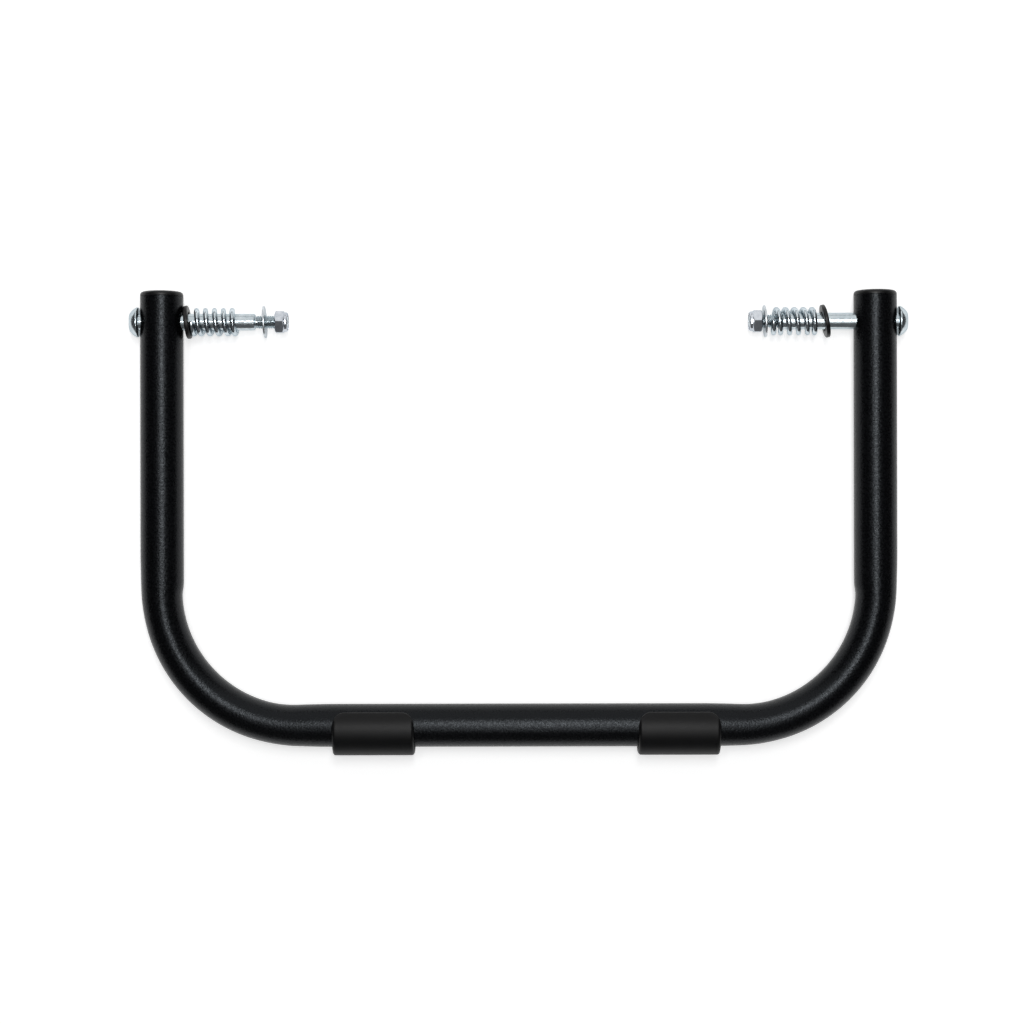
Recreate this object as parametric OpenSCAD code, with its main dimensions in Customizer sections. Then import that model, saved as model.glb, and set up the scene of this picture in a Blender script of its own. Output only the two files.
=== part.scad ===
// U-shaped pull bar: a bent round tube with plastic end caps, two clip-on rubber
// pads on its crossbar, and a spring-loaded shoulder bolt through the end of each leg.
// The bar lies flat. +X runs across it from the left leg to the right leg, +Y from
// the crossbar to the open end, +Z is up. The origin is the bottom centre of the
// whole object.

/* [Tube] */
// outside diameter of the coated tube
tube_d = 25.8; // [20:0.1:40]
// wall thickness of the tube with its coat
tube_wall = 1.7; // [1:0.1:3]
// distance between the centre lines of the two legs
leg_spacing = 428; // [300:1:700]
// distance from the bolt axis to the crossbar's centre line
reach = 242; // [150:1:500]
// radius of each bend, to the tube's centre line
bend_r = 81.5; // [50:0.5:120]
// length of tube beyond the bolt axis
tube_overhang = 15.4; // [12:0.1:40]
// diameter of the hole that each bolt slides in
bolt_hole_d = 10.1; // [8:0.1:13]

/* [End caps] */
// height of the cap above the tube's end
cap_h = 3; // [2.5:0.1:6]
// rounding of the cap's top edge
cap_round = 2.2; // [0.5:0.1:2.4]
// length of the stem inside the tube
cap_stem = 8; // [4:0.5:9]
// gap between the stem and the tube's bore
cap_gap = 0.05; // [0.02:0.01:0.3]
// wall thickness of the hollow stem
cap_wall = 2; // [1:0.1:4]

/* [Pads] */
// length of each pad along the crossbar
pad_length = 48.8; // [30:0.1:80]
// outside radius of the pad's round wall
pad_r = 16.2; // [15:0.1:22]
// shift of that wall's centre towards the base
pad_shift = 2.2; // [0:0.1:5]
// thickness of the pad under the tube, down to its flat base
pad_base = 4.6; // [2:0.1:8]
// depth of the tube's crown above the pad's lips
pad_lip_drop = 4.2; // [2:0.1:8]
// gap between the pad and the tube
pad_gap = 0.05; // [0.02:0.01:0.3]
// plan rounding of the pad's corners at the lips
pad_lip_round = 7.5; // [1:0.1:10]
// plan rounding of the pad's corners at the base
pad_base_round = 1.5; // [0.5:0.1:4]
// position of the left pad's middle along the crossbar
left_pad_x = -87; // [-120:0.5:-30]
// position of the right pad's middle along the crossbar
right_pad_x = 95.5; // [30:0.5:120]

/* [Shoulder bolts] */
// diameter of the plain shank
shank_d = 10; // [8:0.1:12]
// length of the plain shank under the head
shank_length = 70; // [50:0.1:90]
// diameter of the threaded end
thread_d = 8; // [6:0.1:10]
// length of the threaded end
thread_length = 19.4; // [10:0.1:30]
// chamfer of the shoulder and of the thread's end
bolt_chamfer = 0.7; // [0.2:0.1:1.5]
// diameter of the button head
head_d = 18; // [14:0.1:24]
// height of the button head
head_h = 5.3; // [3:0.1:8]
// height of the head's straight rim
head_rim = 1.2; // [0.5:0.1:3]
// diameter of the head's flat crown
head_crown_d = 11; // [6:0.1:14]
// width across the flats of the hex socket in the head
socket_af = 6; // [4:0.5:8]
// depth of the hex socket
socket_depth = 3; // [2:0.1:4]
// gap between the head and the tube at rest
head_gap = 0.8; // [0.2:0.1:5]

/* [Lock nuts] */
// width across the flats
nut_af = 12.7; // [10:0.1:17]
// overall height of the nut
nut_h = 7.6; // [7.1:0.1:12]
// height of the hexagonal part
nut_hex_h = 5.5; // [4:0.1:7]
// diameter of the round collar
nut_collar_d = 11.7; // [10:0.1:16]
// outside diameter of the nylon insert
insert_d = 10.2; // [9:0.1:12]
// height of the nylon insert
insert_h = 1.6; // [1:0.1:3]
// radial squeeze of the nut's thread and insert on the bolt
thread_grip = 0.05; // [0.02:0.01:0.2]

/* [Washers] */
// outside diameter of the black friction washer
friction_d = 20; // [16:0.1:24]
// hole diameter of the friction washer
friction_hole_d = 10.6; // [10.1:0.1:12]
// thickness of the friction washer
friction_t = 2.5; // [1:0.1:4]
// outside diameter of the flat steel washer
washer_d = 19.2; // [14:0.1:24]
// hole diameter of the flat steel washer
washer_hole_d = 8.4; // [8.2:0.1:9.5]
// thickness of the flat steel washer
washer_t = 1.2; // [0.8:0.1:2.5]

/* [Springs] */
// outside diameter of the coil
spring_d = 17.2; // [14:0.1:22]
// diameter of the wire
wire_d = 3.1; // [1.5:0.1:3.4]
// overall free length
spring_length = 29.4; // [22:0.1:40]
// turns of the open part of the coil
open_turns = 4; // [3:0.5:8]
// turns of each closed end
closed_turns = 0.75; // [0.5:0.25:1.5]
// where the wire starts around the bolt, in degrees
coil_start = 180; // [0:5:355]

/* [Rest places, from the leg's inner face] */
// left friction washer's outer face
left_friction_at = 1.4; // [0.9:0.05:10]
// right friction washer's outer face
right_friction_at = 15.95; // [0.9:0.05:20]
// left spring's outer end
left_spring_at = 4; // [3:0.1:20]
// right spring's outer end
right_spring_at = 21.1; // [3:0.1:22]
// left flat washer's outer face
left_washer_at = 48.2; // [43:0.1:53]
// right flat washer's outer face
right_washer_at = 52.7; // [43:0.1:53]

/* [Hidden] */
$fn = 96;
tube_r = tube_d / 2;
bore_r = tube_r - tube_wall;
leg_x = leg_spacing / 2;
bend_x = leg_x - bend_r;
// the whole object runs from the pads' bases to the caps' tops, centred on Y = 0
overall_y = tube_r + pad_base + reach + tube_overhang + cap_h;
bar_y = tube_r + pad_base - overall_y / 2;
pivot_y = bar_y + reach;
bend_y = bar_y + bend_r;
// the pads' round walls touch the floor
axis_z = pad_r;
left = -1;
right = 1;
// along a bolt's axis, 0 is the leg's inner face and + points to the middle
head_at = -tube_d - head_gap;
shoulder_at = head_at + shank_length;
tip_at = shoulder_at + thread_length;
nut_at = tip_at - nut_h;
// the head's domed top is part of a ball
crown_rise = head_h - head_rim;
dome_drop = ((head_d / 2) ^ 2 - (head_crown_d / 2) ^ 2 - crown_rise ^ 2) / (2 * crown_rise);
dome_r = sqrt((head_d / 2) ^ 2 + dome_drop ^ 2);
cut = 1;

steel = [0.78, 0.80, 0.82];
black = [0.06, 0.06, 0.065];

// frame of one bolt: local +Z points from the leg's inner face to the middle
module on_bolt_axis(side) {
    translate([side * (leg_x - tube_r), pivot_y, axis_z]) rotate([0, -side * 90, 0]) children();
}

// a U-shaped rod of radius r: crossbar, two bends and two legs
module u_rod(r) {
    translate([-bend_x, bar_y, axis_z]) rotate([0, 90, 0]) cylinder(r = r, h = 2 * bend_x);
    for (side = [left, right]) {
        translate([side * leg_x, bend_y, axis_z]) rotate([-90, 0, 0])
            cylinder(r = r, h = pivot_y + tube_overhang - bend_y);
        translate([side * bend_x, bend_y, axis_z]) rotate([0, 0, side > 0 ? -90 : 180])
            rotate_extrude(angle = 90) translate([bend_r, 0]) circle(r = r);
    }
}

module bar_tube() {
    color(black) difference() {
        u_rod(tube_r);
        u_rod(bore_r);
        for (side = [left, right])
            on_bolt_axis(side) translate([0, 0, -tube_d - cut])
                cylinder(d = bolt_hole_d, h = tube_d + 2 * cut);
    }
}

// profile of the cap's head, with a rounded top edge
module cap_profile() {
    square([tube_r - cap_round, cap_h]);
    square([tube_r, cap_h - cap_round]);
    translate([tube_r - cap_round, cap_h - cap_round]) intersection() {
        circle(r = cap_round);
        square(cap_round);
    }
}

module end_cap(side) {
    color([0.08, 0.08, 0.085])
        translate([side * leg_x, pivot_y + tube_overhang, axis_z]) rotate([-90, 0, 0]) {
            rotate_extrude() cap_profile();
            translate([0, 0, -cap_stem]) difference() {
                cylinder(r = bore_r - cap_gap, h = cap_stem);
                translate([0, 0, -cut]) cylinder(r = bore_r - cap_gap - cap_wall, h = cap_stem);
            }
        }
}
module left_end_cap() { end_cap(left); }
module right_end_cap() { end_cap(right); }

// plan of a pad, with large roundings at the lips and small ones at the base. Its
// upper edge opens the pad's mouth and its lower edge makes the flat base.
module pad_plan() {
    low = -tube_r - pad_base;
    high = tube_r - pad_lip_drop;
    half = pad_length / 2;
    translate([-half, low + pad_base_round])
        square([pad_length, high - low - pad_lip_round - pad_base_round]);
    translate([-half + pad_base_round, low])
        square([pad_length - 2 * pad_base_round, pad_base_round]);
    translate([-half + pad_lip_round, high - pad_lip_round])
        square([pad_length - 2 * pad_lip_round, pad_lip_round]);
    for (end = [-1, 1]) {
        translate([end * (half - pad_base_round), low + pad_base_round]) circle(r = pad_base_round);
        translate([end * (half - pad_lip_round), high - pad_lip_round]) circle(r = pad_lip_round);
    }
}

module foot_pad(x) {
    color([0.10, 0.10, 0.105]) translate([x, bar_y, axis_z]) intersection() {
        rotate([0, 90, 0]) difference() {
            translate([0, -pad_shift, -pad_length]) cylinder(r = pad_r, h = 2 * pad_length);
            translate([0, 0, -2 * pad_length]) cylinder(r = tube_r + pad_gap, h = 4 * pad_length);
        }
        translate([0, 0, -2 * pad_r]) linear_extrude(4 * pad_r) pad_plan();
    }
}
module left_foot_pad() { foot_pad(left_pad_x); }
module right_foot_pad() { foot_pad(right_pad_x); }

// profile of the bolt from its head's crown to the thread's tip
module bolt_profile() {
    translate([0, head_at - head_rim]) square([head_d / 2, head_rim]);
    intersection() {
        translate([0, head_at - head_rim + dome_drop]) circle(r = dome_r);
        translate([0, head_at - head_h]) square([head_d / 2, crown_rise]);
    }
    polygon([
        [0, head_at], [shank_d / 2, head_at], [shank_d / 2, shoulder_at - bolt_chamfer],
        [shank_d / 2 - bolt_chamfer, shoulder_at], [thread_d / 2, shoulder_at],
        [thread_d / 2, tip_at - bolt_chamfer], [thread_d / 2 - bolt_chamfer, tip_at], [0, tip_at]
    ]);
}

module pivot_bolt(side) {
    color(steel) on_bolt_axis(side) difference() {
        rotate_extrude() bolt_profile();
        translate([0, 0, head_at - head_h - cut])
            cylinder(d = socket_af / cos(30), h = socket_depth + cut, $fn = 6);
    }
}
module left_pivot_bolt() { pivot_bolt(left); }
module right_pivot_bolt() { pivot_bolt(right); }

module ring(d, hole_d, h) {
    difference() {
        cylinder(d = d, h = h);
        translate([0, 0, -cut]) cylinder(d = hole_d, h = h + 2 * cut);
    }
}

module friction_washer(side, at) {
    color([0.12, 0.11, 0.11]) on_bolt_axis(side) translate([0, 0, at])
        ring(friction_d, friction_hole_d, friction_t);
}
module left_friction_washer() { friction_washer(left, left_friction_at); }
module right_friction_washer() { friction_washer(right, right_friction_at); }

module flat_washer(side, at) {
    color(steel) on_bolt_axis(side) translate([0, 0, at]) ring(washer_d, washer_hole_d, washer_t);
}
module left_flat_washer() { flat_washer(left, left_washer_at); }
module right_flat_washer() { flat_washer(right, right_washer_at); }

module lock_nut(side) {
    color(steel) on_bolt_axis(side) translate([0, 0, nut_at]) difference() {
        union() {
            cylinder(d = nut_af / cos(30), h = nut_hex_h, $fn = 6);
            cylinder(d = nut_collar_d, h = nut_h);
        }
        translate([0, 0, -cut]) cylinder(d = thread_d - 2 * thread_grip, h = nut_h + 2 * cut);
        translate([0, 0, nut_hex_h]) cylinder(d = insert_d, h = nut_h);
    }
}
module left_lock_nut() { lock_nut(left); }
module right_lock_nut() { lock_nut(right); }

module nut_insert(side) {
    color([0.85, 0.86, 0.84]) on_bolt_axis(side) translate([0, 0, nut_at + nut_hex_h])
        ring(insert_d, thread_d - 2 * thread_grip, insert_h);
}
module left_nut_insert() { nut_insert(left); }
module right_nut_insert() { nut_insert(right); }

// coil: the wire's rings stand along a helix whose ends are wound closed
wire_sides = 10;
steps_per_turn = 24;
total_turns = open_turns + 2 * closed_turns;
closed_pitch = wire_d + 0.05;
open_pitch = (spring_length - wire_d - 2 * closed_turns * closed_pitch) / open_turns;
coil_r = (spring_d - wire_d) / 2;

// height of the wire's centre line after t turns
function coil_z(t) =
    t < closed_turns ? t * closed_pitch
    : t < closed_turns + open_turns ? closed_turns * closed_pitch + (t - closed_turns) * open_pitch
    : closed_turns * closed_pitch + open_turns * open_pitch
        + (t - closed_turns - open_turns) * closed_pitch;

module spring(side, at) {
    steps = total_turns * steps_per_turn;
    points = [
        for (i = [0:steps], k = [0:wire_sides - 1])
            let (turn = coil_start + i * 360 / steps_per_turn, round = k * 360 / wire_sides,
                 r = coil_r + wire_d / 2 * cos(round))
                [r * cos(turn), r * sin(turn),
                 wire_d / 2 + coil_z(i / steps_per_turn) + wire_d / 2 * sin(round)]
    ];
    walls = [
        for (i = [0:steps - 1], k = [0:wire_sides - 1])
            let (a = i * wire_sides + k, b = i * wire_sides + (k + 1) % wire_sides)
                each [[a, b, b + wire_sides], [a, b + wire_sides, a + wire_sides]]
    ];
    first = [for (k = [wire_sides - 1:-1:0]) k];
    last = [for (k = [0:wire_sides - 1]) steps * wire_sides + k];
    color(steel) on_bolt_axis(side) translate([0, 0, at])
        polyhedron(points = points, faces = concat(walls, [first, last]));
}
module left_spring() { spring(left, left_spring_at); }
module right_spring() { spring(right, right_spring_at); }

bar_tube();
left_end_cap();
right_end_cap();
left_foot_pad();
right_foot_pad();
left_pivot_bolt();
right_pivot_bolt();
left_friction_washer();
right_friction_washer();
left_spring();
right_spring();
left_flat_washer();
right_flat_washer();
left_lock_nut();
right_lock_nut();
left_nut_insert();
right_nut_insert();
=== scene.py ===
"""Looks of the pull bar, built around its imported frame.

Lengths are in metres. Places come from the frame's own boxes, and sizes that no box gives
repeat those of the CAD source. The pieces of each bolt are made in a local frame whose +Z
runs from the leg's inner face to the bar's middle.
"""
import math

import bmesh
import bpy
from mathutils import Matrix, Vector


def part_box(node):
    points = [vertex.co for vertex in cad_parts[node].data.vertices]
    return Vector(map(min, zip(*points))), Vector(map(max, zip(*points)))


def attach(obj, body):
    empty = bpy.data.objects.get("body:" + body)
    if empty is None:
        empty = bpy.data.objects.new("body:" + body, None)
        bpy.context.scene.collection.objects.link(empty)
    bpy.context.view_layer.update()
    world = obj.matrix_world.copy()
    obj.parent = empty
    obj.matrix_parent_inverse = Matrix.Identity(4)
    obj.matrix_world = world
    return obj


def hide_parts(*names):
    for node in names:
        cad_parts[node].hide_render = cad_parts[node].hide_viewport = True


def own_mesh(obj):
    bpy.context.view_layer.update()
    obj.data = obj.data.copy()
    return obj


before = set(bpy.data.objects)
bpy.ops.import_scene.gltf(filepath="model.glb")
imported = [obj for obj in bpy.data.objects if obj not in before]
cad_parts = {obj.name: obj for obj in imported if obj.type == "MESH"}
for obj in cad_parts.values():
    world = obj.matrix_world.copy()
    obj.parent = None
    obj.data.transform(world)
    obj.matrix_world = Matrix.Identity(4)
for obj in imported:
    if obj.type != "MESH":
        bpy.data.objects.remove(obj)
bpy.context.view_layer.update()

MM = 0.001
SIDES = {"left": -1, "right": 1}

# ---------------------------------------------------------------- places in the frame
tube_low, tube_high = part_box("bar_tube")
TUBE_R = (tube_high.z - tube_low.z) / 2
AXIS_Z = (tube_high.z + tube_low.z) / 2
LEG_X = tube_high.x - TUBE_R
LEG_TOP = tube_high.y
BAR_Y = tube_low.y + TUBE_R
PIVOT_Y = sum(corner.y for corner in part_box("left_pivot_bolt")) / 2
INNER_FACE = LEG_X - TUBE_R
BEND_R = 81.5 * MM  # of the tube's axis
TUBE_WALL = 1.7 * MM


def half_size(node, axis="z"):
    """Half of a node's size along that axis."""
    low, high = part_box(node)
    return (getattr(high, axis) - getattr(low, axis)) / 2


def along_bolt(side, node):
    """(outer end, inner end) of a node on a bolt, from the leg's inner face inwards."""
    low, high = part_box(node)
    ends = (INNER_FACE - abs(low.x), INNER_FACE - abs(high.x))
    return min(ends), max(ends)


def bolt_frame(side):
    """Matrix from a bolt's local frame to the row frame."""
    place = Matrix.Translation((SIDES[side] * INNER_FACE, PIVOT_Y, AXIS_Z))
    return place @ Matrix.Rotation(-SIDES[side] * math.pi / 2, 4, "Y")


# ---------------------------------------------------------------- materials
def principled(name):
    """(material, its node tree, its shader)"""
    made = bpy.data.materials.new(name)
    made.use_nodes = True
    tree = made.node_tree
    return made, tree, tree.nodes["Principled BSDF"]


def noise(tree, size, detail=2.0, stretch=(1, 1, 1), rough=0.5):
    """Noise whose blobs are about that size, in the piece's own coordinates."""
    coords = tree.nodes.new("ShaderNodeTexCoord")
    mapping = tree.nodes.new("ShaderNodeMapping")
    mapping.inputs["Scale"].default_value = stretch
    texture = tree.nodes.new("ShaderNodeTexNoise")
    texture.inputs["Scale"].default_value = 1 / size
    texture.inputs["Detail"].default_value = detail
    texture.inputs["Roughness"].default_value = rough
    tree.links.new(coords.outputs["Object"], mapping.inputs["Vector"])
    tree.links.new(mapping.outputs["Vector"], texture.inputs["Vector"])
    return texture.outputs["Fac"]


def spread(tree, value, low, high, start=0.3, end=0.7):
    """value from start to end, turned into low to high."""
    ramp = tree.nodes.new("ShaderNodeMapRange")
    numbers = {"From Min": start, "From Max": end, "To Min": low, "To Max": high}
    for socket, number in numbers.items():
        ramp.inputs[socket].default_value = number
    tree.links.new(value, ramp.inputs["Value"])
    return ramp.outputs["Result"]


def two_tones(tree, value, dark, light):
    """A colour between dark and light, as the value goes up."""
    mix = tree.nodes.new("ShaderNodeMix")
    mix.data_type = "RGBA"
    mix.inputs["A"].default_value = (*dark, 1)
    mix.inputs["B"].default_value = (*light, 1)
    tree.links.new(spread(tree, value, 0, 1), mix.inputs["Factor"])
    return mix.outputs["Result"]


def bump(tree, shader, height, strength, distance):
    """Relief of that depth in metres, from a value."""
    node = tree.nodes.new("ShaderNodeBump")
    node.inputs["Strength"].default_value = strength
    node.inputs["Distance"].default_value = distance
    tree.links.new(height, node.inputs["Height"])
    tree.links.new(node.outputs["Normal"], shader.inputs["Normal"])


def powder_coat():
    """Black powder coat with a fine sandy texture."""
    made, tree, shader = principled("powder_coat")
    grain = noise(tree, 1.15 * MM, detail=3)
    tree.links.new(
        two_tones(tree, grain, (0.0006, 0.0006, 0.0008), (0.0016, 0.0016, 0.0020)),
        shader.inputs["Base Color"],
    )
    tree.links.new(spread(tree, grain, 0.25, 0.38, 0.4, 0.6), shader.inputs["Roughness"])
    shader.inputs["Specular IOR Level"].default_value = 0.20
    shader.inputs["Specular Tint"].default_value = (0.86, 0.93, 1.0, 1)
    bump(tree, shader, grain, 0.9, 0.14 * MM)
    return made


def cap_plastic():
    """Moulded black plastic, a little smoother than the coat beside it."""
    made, tree, shader = principled("cap_plastic")
    grain = noise(tree, 0.35 * MM, detail=2)
    tree.links.new(
        two_tones(tree, grain, (0.0008, 0.0008, 0.0010), (0.0020, 0.0020, 0.0024)),
        shader.inputs["Base Color"],
    )
    tree.links.new(spread(tree, grain, 0.38, 0.46), shader.inputs["Roughness"])
    shader.inputs["Specular IOR Level"].default_value = 0.35
    bump(tree, shader, grain, 0.3, 0.05 * MM)
    return made


def pad_rubber():
    """Dark rubber with a fine matt grain."""
    made, tree, shader = principled("pad_rubber")
    grain = noise(tree, 0.30 * MM, detail=3)
    clouds = noise(tree, 9 * MM, detail=2)
    tree.links.new(
        two_tones(tree, clouds, (0.0012, 0.0012, 0.0014), (0.0022, 0.0022, 0.0026)),
        shader.inputs["Base Color"],
    )
    tree.links.new(spread(tree, grain, 0.40, 0.52), shader.inputs["Roughness"])
    shader.inputs["Specular IOR Level"].default_value = 0.21
    bump(tree, shader, grain, 0.35, 0.05 * MM)
    return made


def friction_nylon():
    """Near-black washer material with a brownish cast and a satin face."""
    made, tree, shader = principled("friction_nylon")
    clouds = noise(tree, 3 * MM, detail=3)
    tree.links.new(
        two_tones(tree, clouds, (0.0014, 0.0011, 0.0013), (0.0046, 0.0037, 0.0042)),
        shader.inputs["Base Color"],
    )
    tree.links.new(spread(tree, clouds, 0.30, 0.44), shader.inputs["Roughness"])
    shader.inputs["Specular IOR Level"].default_value = 0.35
    bump(tree, shader, noise(tree, 0.4 * MM, detail=2), 0.25, 0.05 * MM)
    return made


def zinc_plate(name, dark, light, smooth, coarse, grain_size, stretch=(1, 1, 1)):
    """Bright zinc plating: a metal whose tone varies in patches and its gloss in a finer grain."""
    made, tree, shader = principled(name)
    patches = noise(tree, 4 * MM, detail=4)
    lines = noise(tree, grain_size, detail=2, stretch=stretch)
    tree.links.new(two_tones(tree, patches, dark, light), shader.inputs["Base Color"])
    tree.links.new(spread(tree, lines, smooth, coarse), shader.inputs["Roughness"])
    shader.inputs["Metallic"].default_value = 1.0
    shader.inputs["Specular Tint"].default_value = (0.62, 0.66, 0.68, 1)
    bump(tree, shader, lines, 0.04, 0.02 * MM)
    return made


def insert_nylon():
    """Pale nylon whose tone varies in soft clouds."""
    made, tree, shader = principled("insert_nylon")
    clouds = noise(tree, 1.5 * MM, detail=2)
    tree.links.new(
        two_tones(tree, clouds, (0.52, 0.56, 0.60), (0.66, 0.70, 0.73)),
        shader.inputs["Base Color"],
    )
    tree.links.new(spread(tree, clouds, 0.30, 0.42), shader.inputs["Roughness"])
    bump(tree, shader, clouds, 0.1, 0.03 * MM)
    return made


TURNED = (6, 1, 1)  # marks that run around the bolt's axis
MATERIALS = {
    "bar_tube": powder_coat(),
    "end_cap": cap_plastic(),
    "foot_pad": pad_rubber(),
    "friction_washer": friction_nylon(),
    "pivot_bolt": zinc_plate(
        "zinc_bolt", (0.44, 0.50, 0.53), (0.60, 0.66, 0.69), 0.16, 0.24, 0.5 * MM, TURNED
    ),
    "spring": zinc_plate(
        "zinc_spring", (0.44, 0.50, 0.54), (0.68, 0.74, 0.77), 0.09, 0.16, 0.6 * MM
    ),
    "flat_washer": zinc_plate(
        "zinc_washer", (0.52, 0.55, 0.58), (0.70, 0.73, 0.75), 0.20, 0.32, 0.4 * MM
    ),
    "lock_nut": zinc_plate(
        "zinc_nut", (0.46, 0.49, 0.54), (0.68, 0.71, 0.75), 0.14, 0.24, 0.5 * MM
    ),
    "nut_insert": insert_nylon(),
}


# ---------------------------------------------------------------- mesh helpers
MERGE = 1e-7  # points closer than this are one point


def rounded(corners, closed=False, steps=6):
    """Outline through (r, z, rounding) corners, with an arc of that radius at each."""
    outline = []
    count = len(corners)
    for i, (x, y, radius) in enumerate(corners):
        here = Vector((x, y))
        at_end = not closed and i in (0, count - 1)
        if radius == 0 or at_end:
            outline.append(here)
            continue
        before = Vector(corners[i - 1][:2]) - here
        after = Vector(corners[(i + 1) % count][:2]) - here
        half = before.angle(after) / 2
        setback = radius / math.tan(half)
        start = here + before.normalized() * setback
        end = here + after.normalized() * setback
        inwards = (before.normalized() + after.normalized()).normalized()
        middle = here + inwards * radius / math.sin(half)
        sweep = math.pi - 2 * half
        for k in range(steps + 1):
            angle = sweep * k / steps
            first = (start - middle) * math.sin(sweep - angle)
            last = (end - middle) * math.sin(angle)
            outline.append(middle + (first + last) / math.sin(sweep))
    return outline


def face_outwards(bm):
    """Turns the faces of a closed mesh outwards and returns it."""
    bmesh.ops.recalc_face_normals(bm, faces=bm.faces)
    if bm.calc_volume(signed=True) < 0:
        bmesh.ops.reverse_faces(bm, faces=bm.faces)
    return bm


def loft(rings, loop=False, capped=False):
    """A mesh that joins each ring of points with the next; a loop also joins the last and first."""
    bm = bmesh.new()
    rows = [[bm.verts.new(point) for point in ring] for ring in rings]
    size = len(rows[0])
    for i in range(len(rows) if loop else len(rows) - 1):
        row, following = rows[i], rows[(i + 1) % len(rows)]
        for k in range(size):
            bm.faces.new((row[k], row[(k + 1) % size], following[(k + 1) % size], following[k]))
    if capped:
        bm.faces.new(reversed(rows[0]))
        bm.faces.new(rows[-1])
    bmesh.ops.remove_doubles(bm, verts=bm.verts, dist=MERGE)
    return face_outwards(bm)


def ring_of(radius, z, steps):
    """One ring of points; radius is a number or a function of the angle."""
    angles = [2 * math.pi * k / steps for k in range(steps)]
    reach = radius if callable(radius) else lambda angle: radius
    return [Vector((reach(a) * math.cos(a), reach(a) * math.sin(a), z)) for a in angles]


def lathe(outline, steps=96, loop=False):
    """A mesh turned from an outline of (r, z) points."""
    return loft([ring_of(r, z, steps) for r, z in outline], loop=loop)


def add_mesh(name, bm):
    """A new mesh that takes over what was built."""
    mesh = bpy.data.meshes.new(name)
    bm.to_mesh(mesh)
    bm.free()
    return mesh


def add_object(name, data):
    """A new object in the scene."""
    made = bpy.data.objects.new(name, data)
    bpy.context.scene.collection.objects.link(made)
    return made


def shade(mesh, sharp):
    """Smooth shading, apart from edges over that many degrees."""
    mesh.shade_smooth()
    mesh.set_sharp_from_angle(angle=math.radians(sharp))


def piece(name, bm, node, body, place=None, sharp=35):
    """Turns a mesh into a piece that stands for a CAD node and rides on its body."""
    mesh = add_mesh(name, bm)
    if place is not None:
        mesh.transform(place)
    shade(mesh, sharp)
    made = add_object(name, mesh)
    slot = node.removeprefix("left_").removeprefix("right_")
    mesh.materials.append(MATERIALS[slot])
    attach(made, body)
    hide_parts(node)
    return made


def bolt_piece(side, name, bm, node, body="bolt", sharp=35):
    """A piece that was made in the local frame of that side's bolt."""
    place = bolt_frame(side)
    return piece(f"{side}_{name}", bm, f"{side}_{node}", f"{side}_{body}", place, sharp)


def cut(target, bm):
    """Cuts a solid out of a piece."""
    cutter = add_object("cutter", add_mesh("cutter", bm))
    step = target.modifiers.new("cut", "BOOLEAN")
    step.operation = "DIFFERENCE"
    step.solver = "EXACT"
    step.object = cutter
    result = target.evaluated_get(bpy.context.evaluated_depsgraph_get())
    shape = bpy.data.meshes.new_from_object(result)
    clean = bmesh.new()
    clean.from_mesh(shape)
    bmesh.ops.dissolve_degenerate(clean, edges=clean.edges, dist=10 * MERGE)
    clean.to_mesh(shape)
    clean.free()
    target.modifiers.clear()
    target.data = shape
    bpy.data.objects.remove(cutter)


# ---------------------------------------------------------------- the bent tube
FLATTENING = 0.95 * MM  # loss of the tube's half width inside a bend
SHORT_RUN = 9 * MM  # length over which it comes on the inside of the bend, at the leg
LONG_RUN = 46 * MM  # the same for the bend's outside and for its other end
PIVOT_HOLE_R = 5.05 * MM
TUBE_SHARP = 35


def tube_path():
    """Stations of the tube's axis, from the left leg's end to the right one's.

    Each has its centre, the direction away from the U's middle, and the shares of the
    flattening on its outer and its inner side.
    """
    bend_x, bend_y = LEG_X - BEND_R, BAR_Y + BEND_R
    quarter = BEND_R * math.pi / 2
    leg = LEG_TOP - bend_y
    total = 2 * leg + 2 * quarter + 2 * bend_x

    def share(s, leg_run):
        """Share of the flattening, from 0 to 1, at that distance along the tube."""
        s = min(s, total - s)
        inside = min((s - leg) / leg_run, (leg + quarter - s) / LONG_RUN) + 0.5
        inside = min(max(inside, 0), 1)
        return inside * inside * (3 - 2 * inside)

    def at(s):
        """Centre and outward direction at that distance along the tube."""
        if s > total / 2:
            centre, outward = at(total - s)
            return Vector((-centre.x, centre.y)), Vector((-outward.x, outward.y))
        if s < leg:
            return Vector((-LEG_X, LEG_TOP - s)), Vector((-1, 0))
        if s < leg + quarter:
            turn = (s - leg) / BEND_R
            outward = Vector((-math.cos(turn), -math.sin(turn)))
            return Vector((-bend_x, bend_y)) + outward * BEND_R, outward
        return Vector((-bend_x + s - leg - quarter, BAR_Y)), Vector((0, -1))

    stations = 420
    for i in range(stations + 1):
        s = total * i / stations
        yield *at(s), share(s, LONG_RUN), share(s, SHORT_RUN)


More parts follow.
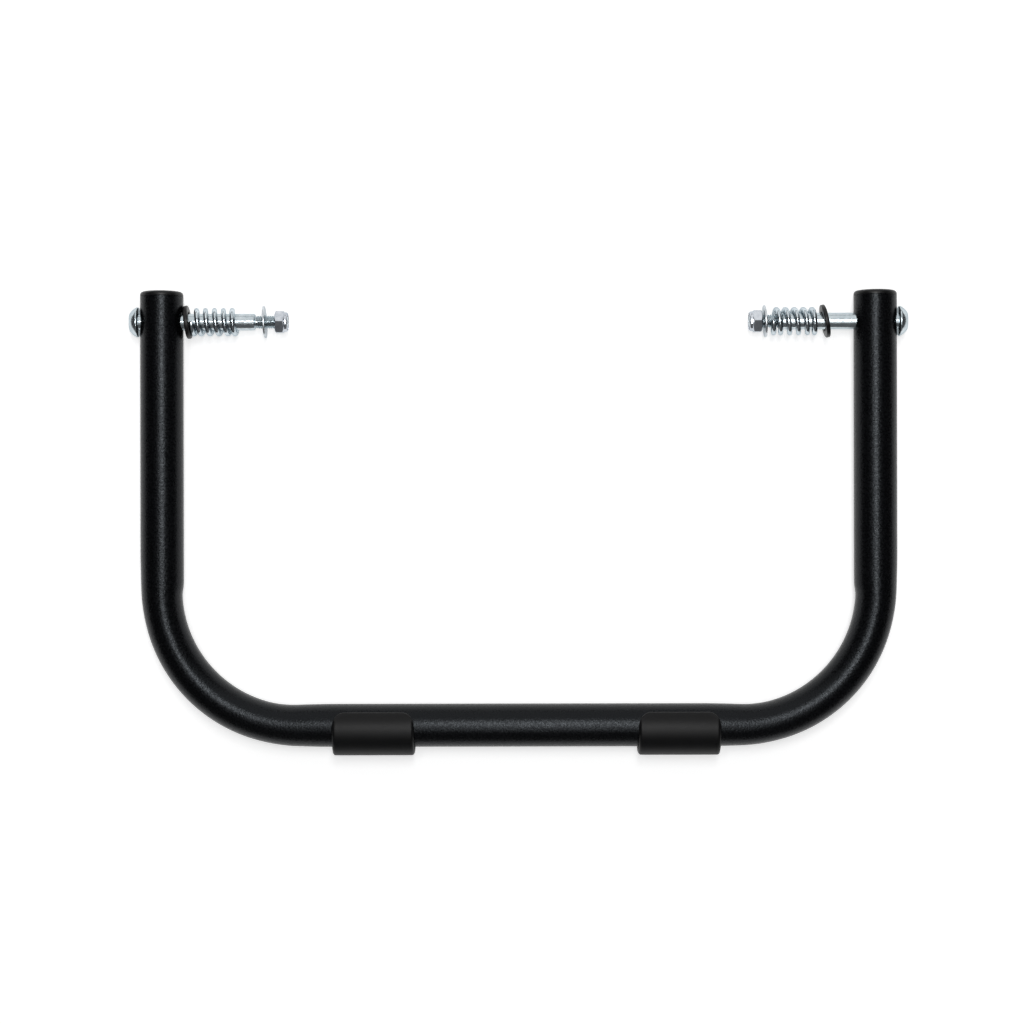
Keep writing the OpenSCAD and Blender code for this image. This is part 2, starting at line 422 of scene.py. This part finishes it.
def tube_piece():
    """The bent tube, with broken edges at its ends and a hole for each bolt."""
    steps = 128
    lip = 0.2 * MM
    path = list(tube_path())
    outside, inside = [], []
    for centre, outward, outer_share, inner_share in path:
        for rings, radius in ((outside, TUBE_R), (inside, TUBE_R - TUBE_WALL)):
            ring = []
            for k in range(steps):
                angle = 2 * math.pi * k / steps
                share = outer_share if math.cos(angle) > 0 else inner_share
                across = (radius - FLATTENING * share) * math.cos(angle)
                spot = centre + outward * across
                ring.append(Vector((spot.x, spot.y, AXIS_Z + radius * math.sin(angle))))
            rings.append(ring)
    # the edges of the tube's two ends are broken slightly
    for end in (0, -1):
        middle = Vector((path[end][0].x, path[end][0].y, AXIS_Z))
        edge = [middle + (p - middle) * (1 - lip / TUBE_R) for p in outside[end]]
        outside[end] = [p - Vector((0, lip, 0)) for p in outside[end]]
        outside.insert(0 if end == 0 else len(outside), edge)
    bm = loft(outside + inside[::-1], loop=True)
    made = piece("tube", bm, "bar_tube", "bar", sharp=TUBE_SHARP)
    margin = 4 * MM
    ends = (-2 * TUBE_R - margin, margin)
    for side in SIDES:
        outline = [(0, ends[0]), (PIVOT_HOLE_R, ends[0]), (PIVOT_HOLE_R, ends[1]), (0, ends[1])]
        drill = lathe(outline, steps=64)
        drill.transform(bolt_frame(side))
        cut(made, drill)
    shade(made.data, TUBE_SHARP)


def end_cap(side):
    """A slightly crowned cap with a solid stem inside the tube."""
    low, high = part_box(f"{side}_end_cap")
    stem = LEG_TOP - low.y
    height = high.y - LEG_TOP
    cap_r = TUBE_R - 0.05 * MM
    stem_r = TUBE_R - TUBE_WALL - 0.1 * MM
    crown_r = TUBE_R * 0.55
    crown_fall = 0.02 * MM
    edge_fall = 0.35 * MM
    seat = 0.02 * MM
    root = 0.1 * MM
    outline = rounded([
        (0, height, 0),
        (crown_r, height - crown_fall, 0),
        (cap_r, height - edge_fall, 2.0 * MM),
        (cap_r, seat, 0.12 * MM),
        (stem_r + 3 * root, -root / 2, 0),
        (stem_r, -root, 0),
        (stem_r, -stem, 0.5 * MM),
        (0, -stem, 0),
    ])
    top = Matrix.Translation((SIDES[side] * LEG_X, LEG_TOP, AXIS_Z))
    place = top @ Matrix.Rotation(-math.pi / 2, 4, "X")
    piece(f"{side}_cap", lathe(outline), f"{side}_end_cap", "bar", place)


# ---------------------------------------------------------------- clip-on pads
def foot_pad(side):
    """A C-shaped clip around the tube, whose lips fall away at its ends."""
    low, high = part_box(f"{side}_foot_pad")
    middle = (low.x + high.x) / 2
    half = (high.x - low.x) / 2
    outer_r = half_size(f"{side}_foot_pad")
    wall_shift = 2.2 * MM
    bore_r = TUBE_R + 0.05 * MM
    base = low.y - BAR_Y
    lip = high.y - BAR_Y
    lip_round = 7.5 * MM
    base_round = 1.5 * MM
    edge = 2.0 * MM
    lip_edge = 1.0 * MM
    arc_steps, lip_steps, end_steps = 56, 8, 18

    def fall(distance, radius):
        """How far a rounding of that radius has fallen, that far inside it."""
        inside = max(0, distance)
        return radius - math.sqrt(max(0, radius * radius - inside * inside))

    def section(x):
        """The C's outline at x from the pad's middle: outer wall, lip, bore and other lip."""
        inset = fall(abs(x) - (half - edge), edge)
        top = lip - fall(abs(x) - (half - lip_round), lip_round) - inset
        bottom = base + fall(abs(x) - (half - base_round), base_round)
        wall_r, hole_r = outer_r - inset, bore_r + inset
        shoulder = top - lip_edge
        wall_end = math.asin((shoulder + wall_shift) / wall_r)
        hole_end = math.asin(shoulder / hole_r)
        points = []
        for k in range(arc_steps + 1):
            angle = wall_end - (math.pi + 2 * wall_end) * k / arc_steps
            y = wall_r * math.sin(angle) - wall_shift
            points.append((max(y, bottom), wall_r * math.cos(angle)))
        z_wall, z_hole = wall_r * math.cos(wall_end), hole_r * math.cos(hole_end)
        lips = []
        for k in range(1, lip_steps):
            angle = math.pi * k / lip_steps
            z = (z_wall + z_hole) / 2 + (z_wall - z_hole) / 2 * math.cos(angle)
            lips.append((shoulder + lip_edge * math.sin(angle), z))
        points += [(y, -z) for y, z in lips]
        for k in range(arc_steps + 1):
            angle = hole_end - (math.pi + 2 * hole_end) * (1 - k / arc_steps)
            points.append((hole_r * math.sin(angle), hole_r * math.cos(angle)))
        points += lips[::-1]
        return [Vector((middle + x, BAR_Y + y, AXIS_Z + z)) for y, z in points]

    turns = [math.pi / 2 * k / end_steps for k in range(end_steps + 1)]
    ends = [half - lip_round + lip_round * math.sin(t) for t in turns]
    stations = [-x for x in reversed(ends)] + ends
    bm = loft([section(x) for x in stations], capped=True)
    piece(f"{side}_pad", bm, f"{side}_foot_pad", "bar", sharp=50)


# ---------------------------------------------------------------- shoulder bolts
SHANK_R = 5 * MM
THREAD_R = 4 * MM
THREAD_ROOT_R = 3.35 * MM
THREAD_CORE_R = 3.25 * MM  # of the rod inside the thread's skin
THREAD_PITCH = 1.25 * MM
SHANK_LENGTH = 70 * MM
HEAD_HEIGHT = 5.3 * MM
HEAD_RIM = 1.2 * MM  # height of the head's straight part
CROWN_R = 5.5 * MM
SOCKET_AF = 6 * MM  # width across the flats
SOCKET_DEPTH = 3 * MM
BOLT_CHAMFER = 0.7 * MM
THREAD_RELIEF = 0.5 * MM  # plain length at both ends of the thread
BOLT_SHARP = 30


def thread_skin(start, end):
    """A closed helical thread: rows of points follow the helix, so its crests are clean edges.

    Each row ends where the row one pitch further on begins.
    """
    heights = (0, 0, 1 / 3, 2 / 3, 1, 1, 2 / 3, 1 / 3)  # the profile of one pitch
    per_pitch = len(heights)
    steps = 48
    rise = THREAD_PITCH / per_pitch
    rows = int((end - start) / rise) + 2 * per_pitch
    fade = 0.9 * MM
    bm = bmesh.new()
    grid = []
    for i in range(rows):
        row = []
        for k in range(steps):
            angle = 2 * math.pi * k / steps
            z = start - THREAD_PITCH + rise * i + THREAD_PITCH * k / steps
            z = min(max(z, start), end)
            room = min((end - z) / fade, (z - start) / fade, 1)
            r = THREAD_ROOT_R + (THREAD_R - THREAD_ROOT_R) * min(heights[i % per_pitch], room)
            row.append(bm.verts.new((r * math.cos(angle), r * math.sin(angle), z)))
        grid.append(row)
    for i in range(rows - 1):
        for k in range(steps):
            if k < steps - 1:
                corners = (grid[i][k], grid[i][k + 1], grid[i + 1][k + 1], grid[i + 1][k])
            elif i + 1 + per_pitch < rows:
                ahead = i + per_pitch
                corners = (grid[i][k], grid[ahead][0], grid[ahead + 1][0], grid[i + 1][k])
            else:
                continue
            bm.faces.new(corners)
    bmesh.ops.remove_doubles(bm, verts=bm.verts, dist=MERGE)
    bmesh.ops.dissolve_degenerate(bm, edges=bm.edges, dist=MERGE)
    bmesh.ops.holes_fill(bm, edges=[edge for edge in bm.edges if edge.is_boundary])
    return face_outwards(bm)


def dome(rim_r, rim_z, crown_r, crown_z, steps=14):
    """Points of a ball's arc from the crown's edge to the rim."""
    rise = rim_z - crown_z
    drop = (rim_r ** 2 - crown_r ** 2 - rise ** 2) / (2 * rise)
    ball_r = math.hypot(rim_r, drop)
    middle = rim_z + drop
    start = math.atan2(middle - crown_z, crown_r)
    end = math.atan2(middle - rim_z, rim_r)
    angles = [start + (end - start) * k / steps for k in range(steps + 1)]
    return [(ball_r * math.cos(a), middle - ball_r * math.sin(a)) for a in angles]


def pivot_bolt(side):
    """Head and shank, with a socket cut in the head, and the thread's skin around its core."""
    crown, tip = along_bolt(side, f"{side}_pivot_bolt")
    underhead = crown + HEAD_HEIGHT
    shoulder = underhead + SHANK_LENGTH
    head_r = half_size(f"{side}_pivot_bolt")
    rim = underhead - HEAD_RIM
    outline = [(0, crown)]
    outline += dome(head_r, rim, CROWN_R, crown)
    outline += rounded([
        (head_r, rim, 0),
        (head_r, underhead, 0.8 * MM),
        (SHANK_R, underhead, 0.05 * MM),
        (SHANK_R, shoulder - BOLT_CHAMFER, 0.15 * MM),
        (SHANK_R - BOLT_CHAMFER, shoulder, 0.1 * MM),
        (THREAD_CORE_R, shoulder, 0),
        (THREAD_CORE_R, tip - THREAD_RELIEF, 0),
        (THREAD_CORE_R - THREAD_RELIEF, tip, 0),
        (0, tip, 0),
    ])[1:]
    made = bolt_piece(side, "bolt", lathe(outline), "pivot_bolt", sharp=BOLT_SHARP)
    socket_r = SOCKET_AF / 2 / math.cos(math.pi / 6)
    mouth_r = socket_r * 1.12
    depths = ((mouth_r, -1 * MM), (mouth_r, 0), (socket_r, 0.35 * MM), (socket_r, SOCKET_DEPTH))
    socket = loft([ring_of(r, crown + depth, 6) for r, depth in depths], capped=True)
    socket.transform(bolt_frame(side))
    cut(made, socket)
    shade(made.data, BOLT_SHARP)
    skin = thread_skin(shoulder + THREAD_RELIEF, tip - THREAD_RELIEF)
    bolt_piece(side, "thread", skin, "pivot_bolt", sharp=25)


# ---------------------------------------------------------------- lock nuts
NUT_HEX_HEIGHT = 5.5 * MM
COLLAR_R = 5.85 * MM
INSERT_R = 5 * MM
HEX_CHAMFER_SLOPE = math.tan(math.radians(30))


def lock_nut(side):
    """A hexagon with chamfered corners, and a round collar with a recess for the insert."""
    start, end = along_bolt(side, f"{side}_lock_nut")
    flat_r = half_size(f"{side}_lock_nut", "y")
    face_r = flat_r - 0.35 * MM
    corner_r = flat_r / math.cos(math.pi / 6)
    chamfer = (corner_r - face_r) * HEX_CHAMFER_SLOPE
    hex_end = start + NUT_HEX_HEIGHT
    bore_r = THREAD_R - 0.05 * MM
    bore_chamfer = 0.5 * MM
    fillet = 0.12 * MM

    def hexagon(limit):
        """The hexagon's radius by angle, with its corners turned down to that radius."""

        def reach(angle):
            off = (angle + math.pi / 6) % (math.pi / 3) - math.pi / 6
            return min(limit, flat_r / math.cos(math.pi / 6 - abs(off)))

        return reach

    steps = 144
    ramp = [k / 8 for k in range(9)]
    limits = [face_r + t * (corner_r - face_r) for t in ramp]
    rings = [
        ring_of(bore_r, start + bore_chamfer, steps),
        ring_of(bore_r + bore_chamfer, start, steps),
    ]
    for t, limit in zip(ramp, limits):
        rings.append(ring_of(hexagon(limit), start + t * chamfer, steps))
    for t, limit in zip(ramp, limits[::-1]):
        rings.append(ring_of(hexagon(limit), hex_end - (1 - t) * chamfer, steps))
    collar = rounded([
        (COLLAR_R + fillet, hex_end, 0),
        (COLLAR_R, hex_end + fillet, 0.05 * MM),
        (COLLAR_R, end, 0.9 * MM),
        (INSERT_R, end, 0.2 * MM),
        (INSERT_R, hex_end, 0),
        (bore_r, hex_end, 0),
    ])
    rings += [ring_of(r, z, steps) for r, z in collar]
    bolt_piece(side, "nut", loft(rings, loop=True), "lock_nut", sharp=24)


def nut_insert(side):
    """The nylon ring in the nut's collar."""
    start, end = along_bolt(side, f"{side}_nut_insert")
    bore_r = THREAD_R - 0.15 * MM
    outline = rounded([
        (bore_r, start, 0),
        (INSERT_R, start, 0),
        (INSERT_R, end, 0.1 * MM),
        (bore_r, end, 0.35 * MM),
    ], closed=True)
    bolt_piece(side, "insert", lathe(outline, loop=True), "nut_insert")


# ---------------------------------------------------------------- washers
FLAT_BORE_R = 4.25 * MM
FLAT_EDGE = 0.3 * MM  # rounding of the outer edges
FRICTION_BORE_R = 5.95 * MM
FRICTION_EDGE = 0.6 * MM
BORE_EDGE = 0.6  # rounding of the bore's edges, as a share of the outer edges'


def washer(side, kind, bore_r, edge, tilt):
    """A ring with rounded edges that leans on the bolt at rest by that many degrees.

    It rides on a body and a mesh of its own.
    """
    node = f"{side}_{kind}_washer"
    start, end = along_bolt(side, node)
    outer_r = half_size(node)
    outline = rounded([
        (bore_r, start, edge * BORE_EDGE),
        (outer_r, start, edge),
        (outer_r, end, edge),
        (bore_r, end, edge * BORE_EDGE),
    ], closed=True)
    centre = bolt_frame(side) @ Vector((0, 0, (start + end) / 2))
    lean = math.radians(tilt)
    leaning = (
        Matrix.Translation(centre)
        @ Matrix.Rotation(lean, 4, "Z")
        @ Matrix.Translation(-centre)
    )
    place = leaning @ bolt_frame(side)
    made = piece(f"{side}_{kind}_ring", lathe(outline, loop=True), node, node, place)
    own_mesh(made)


# ---------------------------------------------------------------- springs
WIRE_R = 1.55 * MM
CLOSED_TURNS = 0.75
OPEN_TURNS = 4
COIL_START = math.pi  # where the wire starts around the bolt


def spring(side):
    """A coil with closed ends, on a body and a mesh of its own."""
    start, end = along_bolt(side, f"{side}_spring")
    coil_r = half_size(f"{side}_spring", "y") - WIRE_R
    closed_pitch = 2 * WIRE_R + 0.05 * MM
    open_pitch = (end - start - 2 * WIRE_R - 2 * CLOSED_TURNS * closed_pitch) / OPEN_TURNS

    def height(turn):
        """Height of the wire's middle after that many turns."""
        closed = min(turn, CLOSED_TURNS) + max(0, turn - CLOSED_TURNS - OPEN_TURNS)
        opened = min(max(turn - CLOSED_TURNS, 0), OPEN_TURNS)
        return closed * closed_pitch + opened * open_pitch

    per_turn, around = 48, 20
    turns = 2 * CLOSED_TURNS + OPEN_TURNS
    steps = int(turns * per_turn)
    blunt = 0.3 * MM  # chamfer of the wire's two ends
    rings = []
    for i in range(steps + 1):
        turn = i / per_turn
        angle = COIL_START + 2 * math.pi * turn
        from_end = min(i, steps - i)
        wire = WIRE_R - (blunt if from_end == 0 else 0)
        ring = []
        for k in range(around):
            a = 2 * math.pi * k / around
            r = coil_r + wire * math.cos(a)
            z = start + WIRE_R + height(turn) + wire * math.sin(a)
            ring.append(Vector((r * math.cos(angle), r * math.sin(angle), z)))
        rings.append(ring)
    made = bolt_piece(side, "coil", loft(rings, capped=True), "spring", body="spring", sharp=60)
    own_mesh(made)


# ---------------------------------------------------------------- the object
FLAT_LEAN = 3  # degrees
FRICTION_LEAN = {"left": 6.3, "right": 11}

tube_piece()
for side in SIDES:
    end_cap(side)
    foot_pad(side)
    pivot_bolt(side)
    lock_nut(side)
    nut_insert(side)
    spring(side)
for side in SIDES:
    washer(side, "flat", FLAT_BORE_R, FLAT_EDGE, FLAT_LEAN)
for side in SIDES:
    washer(side, "friction", FRICTION_BORE_R, FRICTION_EDGE, FRICTION_LEAN[side])


# ---------------------------------------------------------------- floor, lights, camera
FLOOR_SIZE = 30
AREA_LIGHTS = {  # place, target, size in metres and power in watts
    "key": ((0.06, 0.3, 1.8), (0.06, 0.3, 0), (0.28, 0.9), 13.5),
    "left_key": ((-0.36, 0.3, 1.8), (-0.36, 0.3, 0), (0.16, 0.3), 2.0),
    "fill": ((0.06, -0.55, 1.8), (0.06, -0.55, 0), (0.28, 0.8), 3.8),
    "back": ((0.0, 1.7, 1.2), (0, 0, 0.2), (2.6, 2.2), 17),
    "front": ((0.0, -1.9, 1.1), (0, 0, 0.2), (2.6, 2.0), 1.2),
}


def floor():
    """A pale floor that glows a little, as it would in an evenly lit studio."""
    bm = bmesh.new()
    bmesh.ops.create_grid(bm, x_segments=1, y_segments=1, size=FLOOR_SIZE)
    made = add_object("floor", add_mesh("floor", bm))
    paper, _, shader = principled("paper")
    shader.inputs["Base Color"].default_value = (0.80, 0.80, 0.80, 1)
    shader.inputs["Roughness"].default_value = 0.9
    shader.inputs["Specular IOR Level"].default_value = 0.1
    shader.inputs["Emission Color"].default_value = (1, 1, 1, 1)
    shader.inputs["Emission Strength"].default_value = 0.53
    made.data.materials.append(paper)


def lights():
    """A dim sky and the rectangular lamps of the table above."""
    world = bpy.data.worlds.new("studio")
    bpy.context.scene.world = world
    world.use_nodes = True
    background = world.node_tree.nodes["Background"]
    background.inputs["Color"].default_value = (0.95, 0.97, 1.0, 1)
    background.inputs["Strength"].default_value = 0.07
    for name, (place, target, size, power) in AREA_LIGHTS.items():
        data = bpy.data.lights.new(name, "AREA")
        data.shape = "RECTANGLE"
        data.size, data.size_y = size
        data.energy = power
        lamp = add_object(name, data)
        lamp.location = place
        direction = Vector(target) - Vector(place)
        lamp.rotation_euler = direction.to_track_quat("-Z", "Y").to_euler()


VIEW_WIDTH = 614.4 * MM  # what the picture's width covers, at the height of the tube's axis
VIEW_DISTANCE = 1.3  # from the tube's axis
VIEW_X = -4.1 * MM
VIEW_BELOW_PIVOT = 114.2 * MM
VIEW_ROLL = math.radians(-0.11)
SENSOR = 36


def camera():
    """Straight above the bar, as in the photograph."""
    data = bpy.data.cameras.new("camera")
    data.sensor_width = SENSOR
    data.lens = SENSOR * VIEW_DISTANCE / VIEW_WIDTH
    made = add_object("camera", data)
    made.location = (VIEW_X, PIVOT_Y - VIEW_BELOW_PIVOT, AXIS_Z + VIEW_DISTANCE)
    made.rotation_euler = (0, 0, VIEW_ROLL)
    bpy.context.scene.camera = made


floor()
lights()
camera()
bpy.context.scene.view_settings.view_transform = "Standard"
